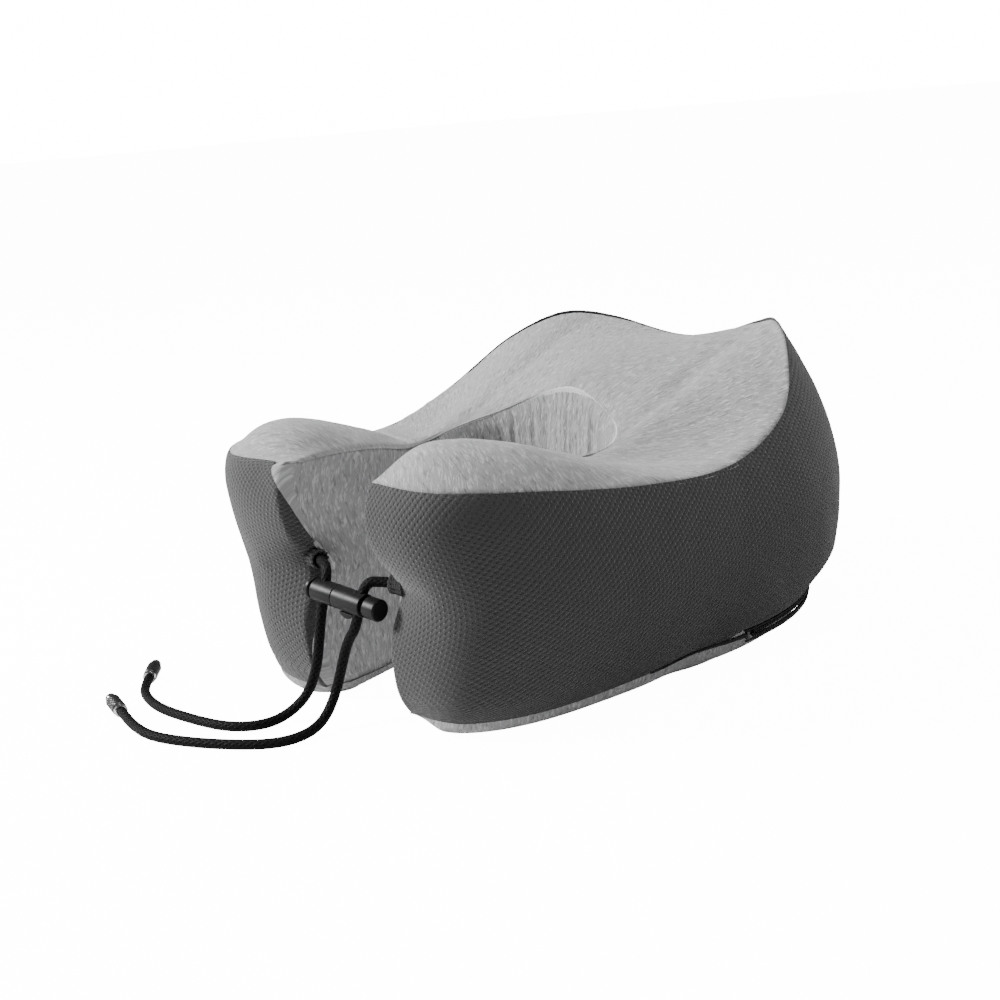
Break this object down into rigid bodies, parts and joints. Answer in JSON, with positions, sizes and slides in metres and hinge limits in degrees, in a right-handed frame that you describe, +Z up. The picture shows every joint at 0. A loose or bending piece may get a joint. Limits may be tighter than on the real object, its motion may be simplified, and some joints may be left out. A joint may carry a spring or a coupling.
{
  "type": "u shaped neck pillow",
  "caption": "U shaped memory foam neck pillow with raised rear humps, zip-off knit and mesh cover, and cords joined by a two-part push-button lock.",
  "frame": {"origin": "centre of the pillow's footprint, on the surface it stands on, without the cords", "axes": "+Z up; the opening between the arms faces -Y; +X towards the arm on the right when the opening faces the viewer"},
  "size_m": [0.2659, 0.3734, 0.1519],
  "materials": {
    "foam": "open-cell memory foam",
    "liner": "thin white tricot",
    "light_knit": "light grey heather knit, soft",
    "dark_mesh": "charcoal dimpled mesh",
    "zip_tape": "black woven tape",
    "zip_teeth": "black nylon coil",
    "zip_metal": "black painted metal",
    "lock_plastic": "black moulded plastic, satin",
    "spring_steel": "spring wire",
    "cord_braid": "black braided cord",
    "tip_chrome": "bright plated metal",
    "tip_dark": "dark grey knurled plastic"
  },
  "bodies": {
    "pillow": {"memory_foam_core": "foam", "foam_liner": "liner", "cover_top_panel": "light_knit", "cover_inner_panel": "light_knit", "cover_outer_panel": "dark_mesh", "cover_bottom_panel": "light_knit", "zipper_tape_upper": "zip_tape", "zipper_tape_lower": "zip_tape", "zipper_teeth_upper": "zip_teeth", "zipper_teeth_lower": "zip_teeth", "zipper_stop_closed": "zip_metal", "zipper_stop_open": "zip_metal", "cord_exit_left": "dark_mesh", "cord_exit_right": "dark_mesh", "lock_socket_half": "lock_plastic", "lock_spring_left": "spring_steel", "cord_left": "cord_braid", "tip_collar_left": "tip_chrome", "tip_barrel_left": "tip_dark", "tip_end_left": "tip_chrome"},
    "lock_plug": {"lock_plug_half": "lock_plastic", "lock_spring_right": "spring_steel", "cord_right": "cord_braid", "tip_collar_right": "tip_chrome", "tip_barrel_right": "tip_dark", "tip_end_right": "tip_chrome"},
    "button_left": {"lock_button_left": "lock_plastic"},
    "button_right": {"lock_button_right": "lock_plastic"},
    "release_tab": {"lock_release_tab": "lock_plastic"},
    "zip_slider": {"zipper_slider": "zip_metal"},
    "zip_pull": {"zipper_pull": "zip_metal"}
  },
  "joints": [
    {"name": "lock_unclip", "type": "slide", "parent": "pillow", "child": "lock_plug", "axis": [0.9962, 0, -0.0872], "range_m": [0, 0.003]},
    {"name": "left_button_press", "type": "slide", "parent": "pillow", "child": "button_left", "axis": [0.9962, 0, -0.0872], "range_m": [0, 0.0012], "stiffness_N_per_m": 600, "springref_m": -0.002},
    {"name": "right_button_press", "type": "slide", "parent": "lock_plug", "child": "button_right", "axis": [-0.9962, 0, 0.0872], "range_m": [0, 0.0018], "stiffness_N_per_m": 600, "springref_m": -0.002},
    {"name": "release_tab_press", "type": "slide", "parent": "lock_plug", "child": "release_tab", "axis": [0.0872, 0, 0.9962], "range_m": [0, 0.001], "stiffness_N_per_m": 600, "springref_m": -0.001},
    {"name": "zip_travel", "type": "hinge", "parent": "pillow", "child": "zip_slider", "pos_m": [0, 0.023, 0.0155], "axis": [0, 0, -1], "range_deg": [0, 186]},
    {"name": "zip_pull_swing", "type": "hinge", "parent": "zip_slider", "child": "zip_pull", "pos_m": [-0.12343, 0.01653, 0.0162], "axis": [-0.0523, 0.9986, 0], "range_deg": [0, 120]}
  ]
}
